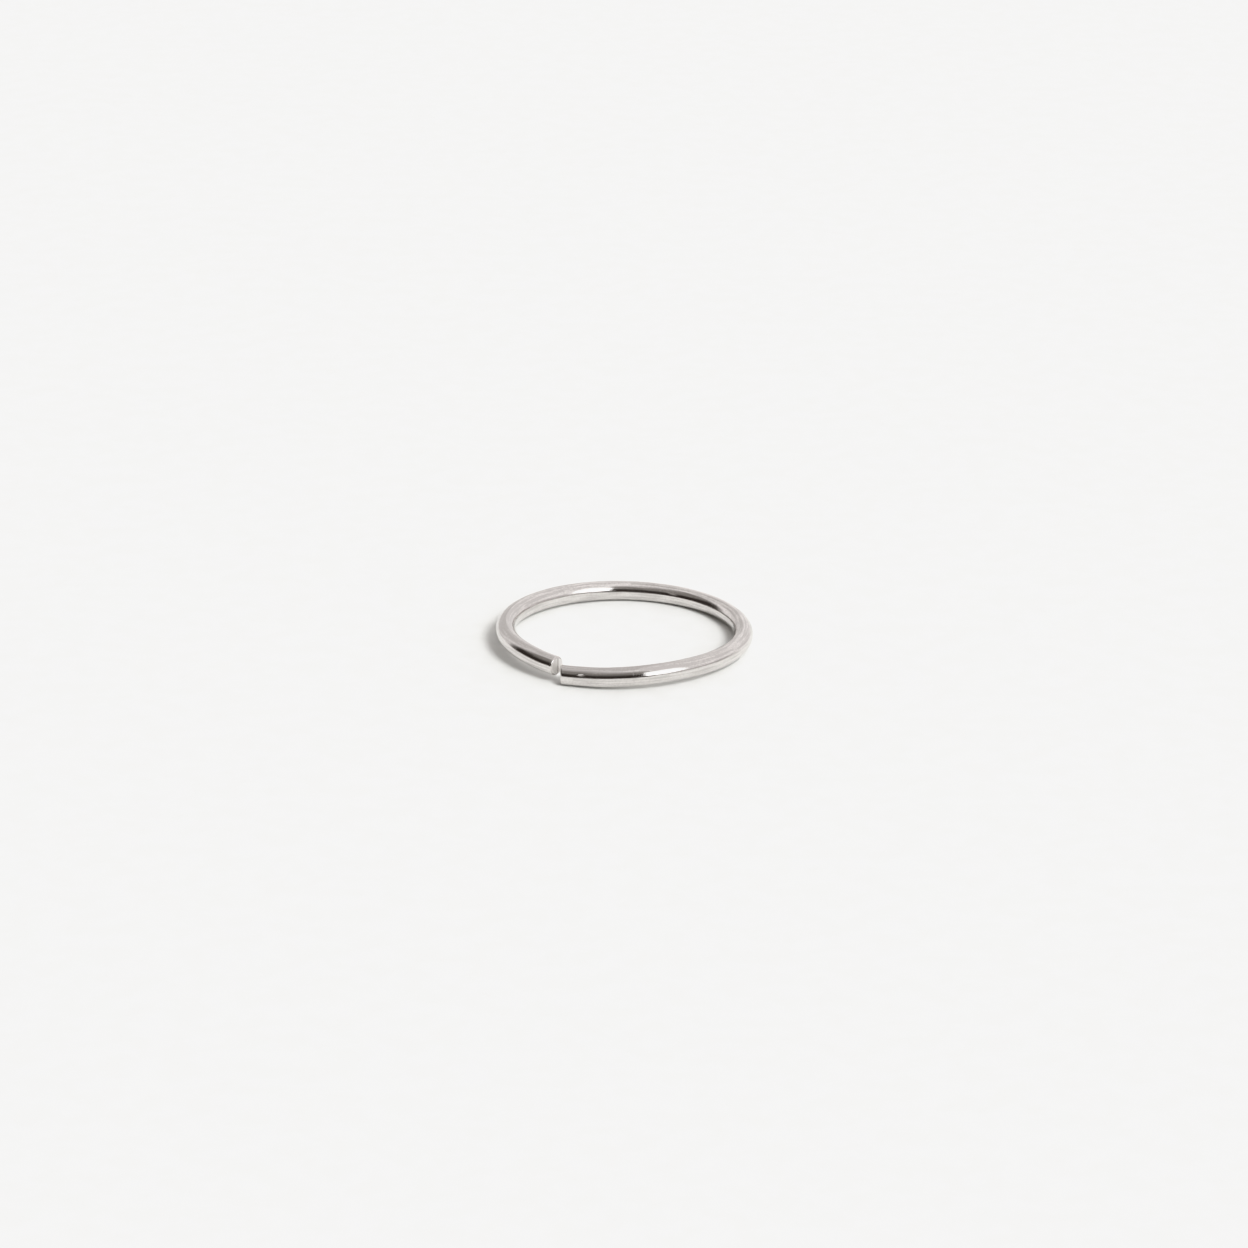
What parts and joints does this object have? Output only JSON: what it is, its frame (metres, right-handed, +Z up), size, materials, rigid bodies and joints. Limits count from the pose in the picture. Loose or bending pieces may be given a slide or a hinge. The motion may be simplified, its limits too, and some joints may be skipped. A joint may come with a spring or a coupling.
{
  "type": "nose ring",
  "caption": "Plain wire nose hoop: round polished silver wire bent into one open turn, its square-cut ends sprung a little apart at the joint.",
  "frame": {"origin": "on the surface that the hoop lies on, under the centre of the hoop", "axes": "+Z up, square to the hoop's plane as it lies on its side; -Y towards the front, where the two ends come together a little to the left; +X to the right"},
  "size_m": [0.0106, 0.0106, 0.0011],
  "materials": {
    "silver": "polished, with fine lines along the wire and light scuffs"
  },
  "bodies": {
    "root": {"wire_hoop": "silver"}
  },
  "joints": []
}
